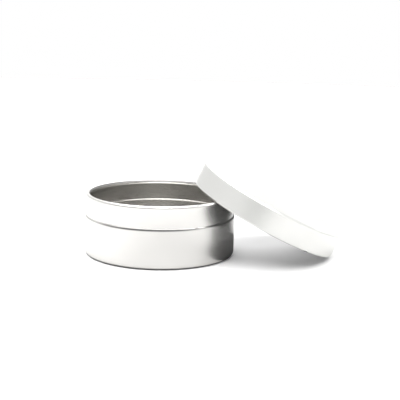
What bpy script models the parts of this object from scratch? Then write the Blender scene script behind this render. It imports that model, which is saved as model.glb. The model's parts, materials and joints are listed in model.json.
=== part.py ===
"""Shallow candle tin with a slip-on lid, in metres, +Z up.

The origin is the centre of the tin's flat bottom. The lid is off the tin and leans on it: its lower edge
stands on the same surface as the tin, and its open edge crosses the tin's rim at two points.
"""

import math

import bpy
import numpy as np

# Sheet metal and the steps of every turned shape
SHEET = 0.0003
TURN_STEPS = 64
MERGE = 0.00001

# Tin body
BODY_RADIUS = 0.0380
BODY_HEIGHT = 0.03075
BASE_CORNER = 0.0015
STEP_HEIGHT = 0.0192
STEP_CORNER = 0.0006
STEP_FILLET = 0.0003
STEP_SLOPE = math.radians(45)
NECK_RADIUS = 0.0374
RIM_CURL = 0.0010

# Lid
LID_RADIUS = 0.0395
LID_HEIGHT = 0.0119
LID_CORNER = 0.0012
LID_CURL = 0.0008
LID_TILT = math.radians(27.1)

# The lid stays this far from the rim that it leans on
REST_GAP = 0.0003

# A curled edge is rolled this far round, which leaves it open inside
CURL_SWEEP = math.radians(280)
CURL_STEPS = 8
CORNER_STEPS = 4
STEP_STEPS = 2

TIN_FINISH = {"colour": (0.80, 0.80, 0.78, 1.0), "roughness": 0.30}
LID_FINISH = {"colour": (0.86, 0.86, 0.85, 1.0), "roughness": 0.38}


def clear_scene():
    for obj in list(bpy.data.objects):
        bpy.data.objects.remove(obj)


def brushed_metal(name, finish):
    material = bpy.data.materials.new(name)
    material.use_nodes = True
    shader = material.node_tree.nodes["Principled BSDF"]
    shader.inputs["Base Color"].default_value = finish["colour"]
    shader.inputs["Metallic"].default_value = 1.0
    shader.inputs["Roughness"].default_value = finish["roughness"]
    return material


def arc(centre, radius, start, end, steps):
    """Points (x, z) on an arc in the profile plane, from angle start to angle end."""
    turn = [start + (end - start) * i / steps for i in range(steps + 1)]
    return [(centre[0] + radius * math.cos(a), centre[1] + radius * math.sin(a)) for a in turn]


def tin_profile():
    """Outer side of the tin body, from the hidden end of the rim's curl down to the centre of the bottom."""
    curl_centre = (NECK_RADIUS - RIM_CURL, BODY_HEIGHT - RIM_CURL)
    corner_centre = (BODY_RADIUS - STEP_CORNER, STEP_HEIGHT)
    rounding = STEP_CORNER + STEP_FILLET
    slope_width = BODY_RADIUS - NECK_RADIUS - rounding * (1 - math.cos(STEP_SLOPE))
    step_rise = rounding * math.sin(STEP_SLOPE) + slope_width / math.tan(STEP_SLOPE)
    fillet_centre = (NECK_RADIUS + STEP_FILLET, STEP_HEIGHT + step_rise)
    base_centre = (BODY_RADIUS - BASE_CORNER, BASE_CORNER)
    points = arc(curl_centre, RIM_CURL, CURL_SWEEP, 0, CURL_STEPS)
    points += arc(fillet_centre, STEP_FILLET, math.pi, math.pi + STEP_SLOPE, STEP_STEPS)
    points += arc(corner_centre, STEP_CORNER, STEP_SLOPE, 0, STEP_STEPS)
    points += arc(base_centre, BASE_CORNER, 0, -math.pi / 2, CORNER_STEPS)
    points.append((0, 0))
    return points


def lid_profile():
    """Outer side of the lid, from the centre of its top down to the hidden end of its edge's curl."""
    corner_centre = (LID_RADIUS - LID_CORNER, LID_HEIGHT - LID_CORNER)
    curl_centre = (LID_RADIUS - LID_CURL, LID_CURL)
    points = [(0, LID_HEIGHT)]
    points += arc(corner_centre, LID_CORNER, math.pi / 2, 0, CORNER_STEPS)
    points += arc(curl_centre, LID_CURL, 0, -CURL_SWEEP, CURL_STEPS)
    return points


def turned_sheet(name, profile, material, collection):
    """Turns a profile about Z and gives it the thickness of the sheet on its inner side."""
    mesh = bpy.data.meshes.new(name)
    edges = [(i, i + 1) for i in range(len(profile) - 1)]
    mesh.from_pydata([(x, 0, z) for x, z in profile], edges, [])
    mesh.materials.append(material)
    obj = bpy.data.objects.new(name, mesh)
    collection.objects.link(obj)

    turn = obj.modifiers.new("Turn", "SCREW")
    turn.axis = "Z"
    turn.steps = TURN_STEPS
    turn.render_steps = TURN_STEPS
    turn.use_merge_vertices = True
    turn.merge_threshold = MERGE
    turn.use_smooth_shade = True

    wall = obj.modifiers.new("Sheet", "SOLIDIFY")
    wall.thickness = SHEET
    wall.offset = -1
    wall.use_even_offset = True
    return obj


def gap_to_rim(lid_x, lid_z):
    """Clear distance between the lid's curled edge and the tin's curled rim, for a lid centred at lid_x."""
    turn = np.linspace(0, 2 * math.pi, 720, endpoint=False)
    edge_radius = LID_RADIUS - LID_CURL
    along, across = edge_radius * np.cos(turn), edge_radius * np.sin(turn)
    x = lid_x + along * math.cos(LID_TILT) + LID_CURL * math.sin(LID_TILT)
    z = lid_z - along * math.sin(LID_TILT) + LID_CURL * math.cos(LID_TILT)
    from_ring = np.hypot(x, across) - (NECK_RADIUS - RIM_CURL)
    from_top = z - (BODY_HEIGHT - RIM_CURL)
    return np.hypot(from_ring, from_top).min() - LID_CURL - RIM_CURL


def leaning_place():
    """Centre of the lid's open edge: its low side stands on z = 0, and it is pushed up to the rim."""
    step = 0.00001
    lid_z = (LID_RADIUS - LID_CURL) * math.sin(LID_TILT) + LID_CURL * (1 - math.cos(LID_TILT))
    lid_x = NECK_RADIUS + LID_RADIUS
    while gap_to_rim(lid_x - step, lid_z) > REST_GAP:
        lid_x -= step
    return lid_x, 0, lid_z


def main():
    clear_scene()
    parts = bpy.data.collections.new("candle_tin")
    bpy.context.scene.collection.children.link(parts)

    tin_metal = brushed_metal("tin_metal", TIN_FINISH)
    turned_sheet("tin_body", tin_profile(), tin_metal, parts)

    lid_metal = brushed_metal("lid_metal", LID_FINISH)
    lid = turned_sheet("lid", lid_profile(), lid_metal, parts)
    lid_place = bpy.data.objects.new("lid_place", None)
    parts.objects.link(lid_place)
    lid_place.location = leaning_place()
    lid_place.rotation_euler = (0, LID_TILT, 0)
    lid.parent = lid_place


main()
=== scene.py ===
"""Looks of the candle tin: a bright satin tin, open, with its slip-on lid leaning on the rim.

Both pieces are turned sheet metal, so each is one finely stepped profile, spun about its own axis and
given the sheet's thickness. The tin stands on the frame's origin. The lid's place and tilt come from the
record's mount at the centre of its top.
"""

import json
import math

import bpy
from mathutils import Matrix, Vector


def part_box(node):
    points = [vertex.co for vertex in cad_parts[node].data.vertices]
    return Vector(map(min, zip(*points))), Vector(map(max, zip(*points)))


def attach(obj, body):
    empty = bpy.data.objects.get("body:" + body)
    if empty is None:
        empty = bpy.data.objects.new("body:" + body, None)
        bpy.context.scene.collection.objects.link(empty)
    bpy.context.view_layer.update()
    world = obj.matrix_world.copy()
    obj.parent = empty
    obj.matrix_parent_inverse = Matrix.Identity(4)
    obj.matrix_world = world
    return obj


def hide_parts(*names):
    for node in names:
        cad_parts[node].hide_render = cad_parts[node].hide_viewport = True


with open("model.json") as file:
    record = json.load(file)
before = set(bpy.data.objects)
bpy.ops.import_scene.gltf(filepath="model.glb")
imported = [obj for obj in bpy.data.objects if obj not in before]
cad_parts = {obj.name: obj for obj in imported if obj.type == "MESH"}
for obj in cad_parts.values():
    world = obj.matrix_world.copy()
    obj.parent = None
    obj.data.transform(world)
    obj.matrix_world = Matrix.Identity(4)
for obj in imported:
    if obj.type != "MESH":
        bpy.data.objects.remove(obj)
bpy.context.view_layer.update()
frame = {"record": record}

# Sheet metal and the steps of the turned shapes
SHEET = 0.0003
TURN_STEPS = 256
MERGE = 0.00001
CORNER_STEPS = 12
CURL_STEPS = 28
HOLD = 0.0002

# Tin body, below the rim
BASE_CORNER = 0.0015
STEP_LOW = 0.0192
STEP_CORNER = 0.0006
STEP_FILLET = 0.0003
STEP_SLOPE = math.radians(45)
NECK_INSET = 0.0006
RIM_CURL = 0.0010
CURL_SWEEP = math.radians(280)

# Lid
LID_HEIGHT = 0.0119
LID_CORNER = 0.0012
LID_CURL = 0.0008

# Metal: tones of the faint clouding, roughness, and the scales of the patterns
TIN_TONES = ((0.67, 0.66, 0.64), (0.71, 0.70, 0.68))
TIN_ROUGHNESS = 0.22
LID_TONES = ((0.69, 0.69, 0.67), (0.73, 0.73, 0.71))
LID_ROUGHNESS = 0.25
ROUGHNESS_SPREAD = 0.2
DRAWN_GRAIN = 1.0
GRAIN_SCALE = (60, 4000, 4000)
CLOUD_SCALE = 45.0
CLOUD_RANGE = (0.3, 0.7)
# Painted shade inside the lid: the lid's inner side is darkened to this tone.
INNER_SHADE_TONE = 0.30
INNER_CORNER = 0.8 * LID_CORNER

# Painted shade and painted dark reflections, drawn as dark rings round the tin: under the rim, on the step's
# slope, on its corner, at the base and inside the rim.
# Behind is how strong a ring still is at the back.
PAINTED_SHADE_RINGS = (
    {"height": 0.0298, "width": 0.00040, "strength": 0.55, "behind": 0.2, "outside": 0.03725},
    {"height": 0.0197, "width": 0.00060, "strength": 0.90, "behind": 0.1, "outside": 0.03725},
    {"height": 0.0194, "width": 0.00090, "strength": 1.00, "behind": 0.1, "outside": 0.03785},
    {"height": 0.0003, "width": 0.00110, "strength": 0.95, "behind": 1.0, "outside": 0.03600},
    {"height": 0.0303, "width": 0.00050, "strength": 0.90, "behind": 1.0, "inside": 0.03630},
)
# Tone, soft edge, front direction and fade of the rings of painted shade.
PAINTED_RING_TONE = 0.05
PAINTED_RING_EDGE = HOLD / 4
PAINTED_RING_FRONT = math.radians(-98)
PAINTED_RING_FADE = (0.65, 1.0)

# Camera
CAMERA_PLACE = (0.0, -0.4320, 0.1126)
CAMERA_YAW = math.radians(2.69)
CAMERA_PITCH = math.radians(11.22)
CAMERA_ROLL = math.radians(1.28)
CAMERA_LENS = 77.70
CAMERA_SENSOR = 36.0

# Studio
PAPER_TONE = 0.9
PAPER_ROUGHNESS = 0.9
FLOOR_RADIUS = 1.45
FLOOR_MIRRORED = 0.86
TENT_FILL = 0.12
TENT_MIRRORED = 1.31
TENT_MIRRORED_LEFT = 1.15
TENT_LEFT = (-0.7, 0.0)
BACKGROUND = 1.0
SOFTBOX_PLACE = (-0.15, -0.38, 1.0)
SOFTBOX_SIZE = 1.7
SOFTBOX_POWER = 24.5
BACKDROP_PLACE = 1.5
BACKDROP_WIDTH = 3.5
BACKDROP_HEIGHT = 0.6
BACKDROP_POWER = 165.0
FLAG_TONE = 0.01
FLAG_PLACE = -0.38
FLAG_WIDTH = 0.50
FLAG_HEIGHT = 0.15
FLAG_OFFSET = -0.03
FLAG_STRENGTH = 0.35
FLAG_FADE = (0.15, 0.5)
CARD_TONE = 0.12
CARD_SHARE = 0.88
CARD_PLACE = 0.071
CARD_HEIGHT = 0.0075
CARD_UNDER = 0.012


# Profiles: lists of points (radius, height)

def arc(centre, radius, start, end, steps):
    """Points on an arc in the profile plane, from angle start to angle end."""
    turn = [start + (end - start) * i / steps for i in range(steps + 1)]
    return [(centre[0] + radius * math.cos(a), centre[1] + radius * math.sin(a)) for a in turn]


def straight(start, end, steps=6):
    """Points inside a straight stretch; the first and last stay close to its ends, so it shades flat."""
    length = math.dist(start, end)
    near = min(HOLD / length, 0.25)
    shares = [near + (1 - 2 * near) * i / steps for i in range(steps + 1)]
    return [(start[0] + (end[0] - start[0]) * s, start[1] + (end[1] - start[1]) * s) for s in shares]


def join(stretches):
    """One profile from arcs and other curved stretches, with straight runs between them."""
    points = list(stretches[0])
    for stretch in stretches[1:]:
        points += straight(points[-1], stretch[0])
        points += stretch
    return points


def tin_profile(radius, height):
    """Outer side of the tin body, from the hidden end of the rim's curl to the centre of the bottom."""
    neck = radius - NECK_INSET
    corner = (radius - STEP_CORNER, STEP_LOW)
    rise = STEP_CORNER + STEP_FILLET
    run = rise * (1 - math.cos(STEP_SLOPE))
    slope = (NECK_INSET - run) / math.tan(STEP_SLOPE)
    fillet = (neck + STEP_FILLET, STEP_LOW + rise * math.sin(STEP_SLOPE) + slope)
    base = (radius - BASE_CORNER, BASE_CORNER)
    return join([
        arc((neck - RIM_CURL, height - RIM_CURL), RIM_CURL, CURL_SWEEP, 0, CURL_STEPS),
        arc(fillet, STEP_FILLET, math.pi, math.pi + STEP_SLOPE, CORNER_STEPS),
        arc(corner, STEP_CORNER, STEP_SLOPE, 0, CORNER_STEPS),
        arc(base, BASE_CORNER, 0, -math.pi / 2, CORNER_STEPS),
        [(0, 0)],
    ])


def lid_profile(radius):
    """Outer side of the lid, from the centre of its top to the hidden end of its edge's curl."""
    corner = (radius - LID_CORNER, LID_HEIGHT - LID_CORNER)
    curl = (radius - LID_CURL, LID_CURL)
    return join([
        [(0, LID_HEIGHT)],
        arc(corner, LID_CORNER, math.pi / 2, 0, CORNER_STEPS),
        arc(curl, LID_CURL, 0, -CURL_SWEEP, CURL_STEPS),
    ])


# Pieces

def turned_sheet(name, profile, material):
    """Turns a profile about Z and gives it the thickness of the sheet on its inner side."""
    mesh = bpy.data.meshes.new(name)
    edges = [(i, i + 1) for i in range(len(profile) - 1)]
    mesh.from_pydata([(x, 0, z) for x, z in profile], edges, [])
    mesh.materials.append(material)
    piece = bpy.data.objects.new(name, mesh)
    bpy.context.scene.collection.objects.link(piece)

    turn = piece.modifiers.new("Turn", "SCREW")
    turn.axis = "Z"
    turn.steps = TURN_STEPS
    turn.render_steps = TURN_STEPS
    turn.use_merge_vertices = True
    turn.merge_threshold = MERGE
    turn.use_smooth_shade = True

    wall = piece.modifiers.new("Sheet", "SOLIDIFY")
    wall.thickness = SHEET
    wall.offset = -1
    wall.use_even_offset = True
    return piece


def lid_place():
    """Where the lid's own origin, the centre of its open edge, is, and how it is turned."""
    top = next(m for m in frame["record"]["mounts"] if m["name"] == "lid_top")
    axis = Vector(top["axis"]).normalized()
    origin = Vector(top["pos_m"]) - axis * LID_HEIGHT
    tilt = math.atan2(axis.x, axis.z)
    return Matrix.Translation(origin) @ Matrix.Rotation(tilt, 4, "Y")


# Materials

def add(tree, kind, **settings):
    """Adds a node. A setting is the value of one of its inputs, or one of its own properties."""
    node = tree.nodes.new(kind)
    for key, value in settings.items():
        if key in node.inputs:
            node.inputs[key].default_value = value
        else:
            setattr(node, key, value)
    return node


def change(tree, value, limits, start, end, smooth=True):
    """Goes from start to end while value goes from one limit to the other."""
    node = add(tree, "ShaderNodeMapRange", interpolation_type="SMOOTHSTEP" if smooth else "LINEAR")
    for name, number in zip(("From Min", "From Max", "To Min", "To Max"), (*limits, start, end)):
        node.inputs[name].default_value = number
    tree.links.new(value, node.inputs["Value"])
    return node.outputs["Result"]


def calculate(tree, operation, first, second=0.0):
    """One maths node. Its second value is a number or another node's output."""
    node = add(tree, "ShaderNodeMath", operation=operation)
    tree.links.new(first, node.inputs[0])
    if isinstance(second, float):
        node.inputs[1].default_value = second
    else:
        tree.links.new(second, node.inputs[1])
    return node.outputs[0]


def blend(tree, share, colour, tone):
    """The colour, replaced by a grey tone as far as share says."""
    node = add(tree, "ShaderNodeMix", data_type="RGBA", blend_type="MIX")
    tree.links.new(share, node.inputs["Factor"])
    tree.links.new(colour, node.inputs["A"])
    node.inputs["B"].default_value = (tone, tone, tone, 1)
    return node.outputs["Result"]


def turned_place(tree, place):
    """A point's height, its distance from the piece's axis, and its direction from the axis."""
    split = add(tree, "ShaderNodeSeparateXYZ")
    tree.links.new(place, split.inputs["Vector"])
    outwards = add(tree, "ShaderNodeVectorMath", operation="MULTIPLY")
    outwards.inputs[1].default_value = (1, 1, 0)
    tree.links.new(place, outwards.inputs[0])
    radius = add(tree, "ShaderNodeVectorMath", operation="LENGTH")
    tree.links.new(outwards.outputs[0], radius.inputs[0])
    direction = add(tree, "ShaderNodeVectorMath", operation="NORMALIZE")
    tree.links.new(outwards.outputs[0], direction.inputs[0])
    return split.outputs["Z"], radius.outputs["Value"], direction.outputs[0]


def painted_shade_ring(tree, turned, height, width, strength, behind, outside=0.0, inside=1.0):
    """How far a ring of painted shade and painted dark reflection darkens the metal: a thin ring round the
    tin, strongest at the front.

    It stays between two radii, which keeps it on the outer or on the inner side of the sheet.
    """
    above, radius, direction = turned
    away = calculate(tree, "ABSOLUTE", calculate(tree, "SUBTRACT", above, height))
    ring = change(tree, away, (0, width), strength, 0)
    for limit, before, after in ((outside, 0, 1), (inside, 1, 0)):
        within = change(tree, radius, (limit - PAINTED_RING_EDGE, limit), before, after)
        ring = calculate(tree, "MULTIPLY", ring, within)
    facing = add(tree, "ShaderNodeVectorMath", operation="DOT_PRODUCT")
    facing.inputs[1].default_value = (math.cos(PAINTED_RING_FRONT), math.sin(PAINTED_RING_FRONT), 0)
    tree.links.new(direction, facing.inputs[0])
    side = change(tree, facing.outputs["Value"], PAINTED_RING_FADE, behind, 1)
    return calculate(tree, "MULTIPLY", ring, side)


def shaded_inner_side(tree, turned, lid_radius):
    """1 on the inner side of the lid's sheet, above its curl, where painted shade darkens it, and 0 on its
    outer side.
    """
    above, radius, _ = turned
    share = calculate(tree, "GREATER_THAN", above, 2 * LID_CURL)
    for value, limit in (
        (above, LID_HEIGHT - SHEET / 2),
        (radius, lid_radius - SHEET / 2),
        (calculate(tree, "ADD", radius, above), lid_radius + LID_HEIGHT - INNER_CORNER),
    ):
        share = calculate(tree, "MULTIPLY", share, calculate(tree, "LESS_THAN", value, limit))
    return share


def tinplate(name, tones, roughness, painted_rings=(), lid_radius=None):
    """Satin tinplate: drawn grain round the axis, faint clouding and a roughness that varies a little.

    Rings of painted shade and painted dark reflection darken the tin. A lid's radius darkens the lid's inner
    side with painted shade.
    """
    material = bpy.data.materials.new(name)
    material.use_nodes = True
    tree = material.node_tree
    shader = tree.nodes["Principled BSDF"]
    shader.inputs["Metallic"].default_value = 1.0
    shader.inputs["Anisotropic"].default_value = DRAWN_GRAIN
    around = add(tree, "ShaderNodeTangent", direction_type="RADIAL", axis="Z")
    tree.links.new(around.outputs["Tangent"], shader.inputs["Tangent"])

    place = add(tree, "ShaderNodeTexCoord").outputs["Object"]
    grain_map = add(tree, "ShaderNodeMapping", Scale=GRAIN_SCALE)
    grain = add(tree, "ShaderNodeTexNoise", Scale=1.0, Detail=3.0, Roughness=0.6)
    cloud = add(tree, "ShaderNodeTexNoise", Scale=CLOUD_SCALE, Detail=4.0, Roughness=0.55)
    tree.links.new(place, grain_map.inputs["Vector"])
    tree.links.new(grain_map.outputs["Vector"], grain.inputs["Vector"])
    tree.links.new(place, cloud.inputs["Vector"])

    clouding = add(tree, "ShaderNodeValToRGB")
    for stop, position, tone in zip(clouding.color_ramp.elements, CLOUD_RANGE, tones):
        stop.position = position
        stop.color = (*tone, 1)
    tree.links.new(cloud.outputs["Fac"], clouding.inputs["Fac"])
    colour = clouding.outputs["Color"]
    turned = turned_place(tree, place)
    # Painted shade: dark rings that stand for shade and dark reflections round the tin.
    for ring in painted_rings:
        colour = blend(tree, painted_shade_ring(tree, turned, **ring), colour, PAINTED_RING_TONE)
    # Painted shade: the lid's inner side is darkened, standing for the shade under the lid.
    if lid_radius:
        colour = blend(tree, shaded_inner_side(tree, turned, lid_radius), colour, INNER_SHADE_TONE)
    tree.links.new(colour, shader.inputs["Base Color"])

    low, high = roughness * (1 - ROUGHNESS_SPREAD), roughness * (1 + ROUGHNESS_SPREAD)
    satin = change(tree, grain.outputs["Fac"], (0, 1), low, high, smooth=False)
    tree.links.new(satin, shader.inputs["Roughness"])
    return material


def matt_paper(name, tone):
    material = bpy.data.materials.new(name)
    material.use_nodes = True
    shader = material.node_tree.nodes["Principled BSDF"]
    shader.inputs["Base Color"].default_value = (tone, tone, tone, 1)
    shader.inputs["Roughness"].default_value = PAPER_ROUGHNESS
    shader.inputs["Specular IOR Level"].default_value = 0.0
    return material


# Studio

def floor():
    """White paper. It is overexposed where the camera sees it, and a tone darker in the metal."""
    bpy.ops.mesh.primitive_circle_add(vertices=96, radius=FLOOR_RADIUS, fill_type="NGON")
    surface = bpy.context.object
    surface.name = "floor"
    material = matt_paper("floor_paper", PAPER_TONE)
    tree = material.node_tree
    mirrored = add(tree, "ShaderNodeLightPath").outputs["Is Glossy Ray"]
    tone = change(tree, mirrored, (0, 1), PAPER_TONE, PAPER_TONE * FLOOR_MIRRORED, smooth=False)
    tree.links.new(tone, tree.nodes["Principled BSDF"].inputs["Base Color"])
    surface.data.materials.append(material)


def show_only_in_metal(card, name, material):
    card.name = name
    card.visible_camera = False
    card.visible_diffuse = False
    card.visible_shadow = False
    card.data.materials.append(material)


def flag():
    """A dark flag below the camera: it shades the middle of the tin's front, and fades to its sides."""
    bpy.ops.mesh.primitive_grid_add(x_subdivisions=1, y_subdivisions=1, size=1)
    card = bpy.context.object
    card.scale = (FLAG_WIDTH, FLAG_HEIGHT, 1)
    card.rotation_euler = (math.radians(90), 0, 0)
    card.location = (FLAG_OFFSET, FLAG_PLACE, FLAG_HEIGHT / 2)
    material = bpy.data.materials.new("flag_cloth")
    material.use_nodes = True
    tree = material.node_tree
    tree.nodes.clear()
    split = add(tree, "ShaderNodeSeparateXYZ")
    tree.links.new(add(tree, "ShaderNodeTexCoord").outputs["Object"], split.inputs["Vector"])
    off_centre = calculate(tree, "ABSOLUTE", split.outputs["X"])
    dark = add(tree, "ShaderNodeBsdfDiffuse", Color=(FLAG_TONE, FLAG_TONE, FLAG_TONE, 1))
    clear = add(tree, "ShaderNodeBsdfTransparent")
    mix = add(tree, "ShaderNodeMixShader")
    out = add(tree, "ShaderNodeOutputMaterial")
    tree.links.new(change(tree, off_centre, FLAG_FADE, 1 - FLAG_STRENGTH, 1), mix.inputs["Fac"])
    tree.links.new(dark.outputs[0], mix.inputs[1])
    tree.links.new(clear.outputs[0], mix.inputs[2])
    tree.links.new(mix.outputs[0], out.inputs["Surface"])
    show_only_in_metal(card, "flag", material)


def shade_cards(start, end, reach):
    """Grey cards under the lid, one flat and one standing: they deepen the tin's shaded side.

    The flat one runs from start to end along X, and both are twice reach wide.
    """
    material = matt_paper("grey_card", CARD_TONE)
    bpy.ops.mesh.primitive_circle_add(vertices=48, radius=1, fill_type="NGON")
    flat = bpy.context.object
    flat.scale = ((end - start) / 2, reach, 1)
    flat.location = ((start + end) / 2, 0, SHEET / 3)
    show_only_in_metal(flat, "flat_card", material)
    bpy.ops.mesh.primitive_grid_add(x_subdivisions=1, y_subdivisions=1, size=2)
    standing = bpy.context.object
    standing.scale = (CARD_HEIGHT / 2, reach, 1)
    standing.rotation_euler = (0, math.radians(90), 0)
    standing.location = (CARD_PLACE, 0, CARD_HEIGHT / 2)
    show_only_in_metal(standing, "standing_card", material)


def area_light(name, shape, size, power, place, turn=(0, 0, 0)):
    data = bpy.data.lights.new(name, "AREA")
    data.shape = shape
    data.size = size[0]
    data.size_y = size[-1]
    data.energy = power
    light = bpy.data.objects.new(name, data)
    bpy.context.scene.collection.objects.link(light)
    light.location = place
    light.rotation_euler = turn
    light.visible_camera = False
    return light


def lamps():
    """A wide softbox overhead, and a lit backdrop that only brightens the floor under the lid."""
    area_light("softbox", "DISK", (SOFTBOX_SIZE,), SOFTBOX_POWER, SOFTBOX_PLACE)
    size = (BACKDROP_WIDTH, BACKDROP_HEIGHT)
    place = (0, BACKDROP_PLACE, BACKDROP_HEIGHT / 2)
    backdrop = area_light("backdrop", "RECTANGLE", size, BACKDROP_POWER, place, (math.radians(-90), 0, 0))
    backdrop.visible_glossy = False


def tent():
    """White surroundings: a weak fill on the floor, brighter in the metal, and plain white to the camera."""
    world = bpy.data.worlds.new("tent")
    world.use_nodes = True
    tree = world.node_tree
    tree.nodes.clear()
    path = add(tree, "ShaderNodeLightPath")
    split = add(tree, "ShaderNodeSeparateXYZ")
    tree.links.new(add(tree, "ShaderNodeTexCoord").outputs["Generated"], split.inputs["Vector"])
    side = change(tree, split.outputs["X"], TENT_LEFT, TENT_MIRRORED_LEFT, TENT_MIRRORED)
    white = (1, 1, 1, 1)
    mirrored = add(tree, "ShaderNodeBackground", Color=white)
    fill = add(tree, "ShaderNodeBackground", Color=white, Strength=TENT_FILL)
    seen = add(tree, "ShaderNodeBackground", Color=white, Strength=BACKGROUND)
    tree.links.new(side, mirrored.inputs["Strength"])
    shade = mirrored
    for share, light in (("Is Diffuse Ray", fill), ("Is Camera Ray", seen)):
        mix = add(tree, "ShaderNodeMixShader")
        tree.links.new(path.outputs[share], mix.inputs["Fac"])
        tree.links.new(shade.outputs[0], mix.inputs[1])
        tree.links.new(light.outputs[0], mix.inputs[2])
        shade = mix
    out = add(tree, "ShaderNodeOutputWorld")
    tree.links.new(shade.outputs[0], out.inputs["Surface"])
    bpy.context.scene.world = world


def camera():
    data = bpy.data.cameras.new("camera")
    data.lens = CAMERA_LENS
    data.sensor_width = CAMERA_SENSOR
    data.clip_start = 0.01
    data.clip_end = 100
    eye = bpy.data.objects.new("camera", data)
    bpy.context.scene.collection.objects.link(eye)
    turn = Matrix.Rotation(-CAMERA_YAW, 4, "Z") @ Matrix.Rotation(math.pi / 2 - CAMERA_PITCH, 4, "X")
    turn = turn @ Matrix.Rotation(CAMERA_ROLL, 4, "Z")
    eye.matrix_world = Matrix.Translation(CAMERA_PLACE) @ turn
    bpy.context.scene.camera = eye


camera()
tent()
lamps()
floor()
flag()
bpy.context.scene.view_settings.view_transform = "Standard"

tin_low, tin_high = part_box("tin_body")
# The tin's metal carries the rings of painted shade.
tin_metal = tinplate("tin_plate", TIN_TONES, TIN_ROUGHNESS, painted_rings=PAINTED_SHADE_RINGS)
tin = turned_sheet("tin_shell", tin_profile((tin_high.y - tin_low.y) / 2, tin_high.z), tin_metal)
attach(tin, "tin")
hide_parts("tin_body")

lid_low, lid_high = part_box("lid")
lid_radius = (lid_high.y - lid_low.y) / 2
# The lid's radius also switches on the painted shade on the lid's inner side.
lid_metal = tinplate("lid_plate", LID_TONES, LID_ROUGHNESS, lid_radius=lid_radius)
lid = turned_sheet("lid_shell", lid_profile(lid_radius), lid_metal)
lid.matrix_world = lid_place()
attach(lid, "lid")
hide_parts("lid")

card_end = tin_high.x + CARD_SHARE * (lid_high.x - tin_high.x)
shade_cards(tin_high.x - CARD_UNDER, card_end, CARD_SHARE * lid_high.y)
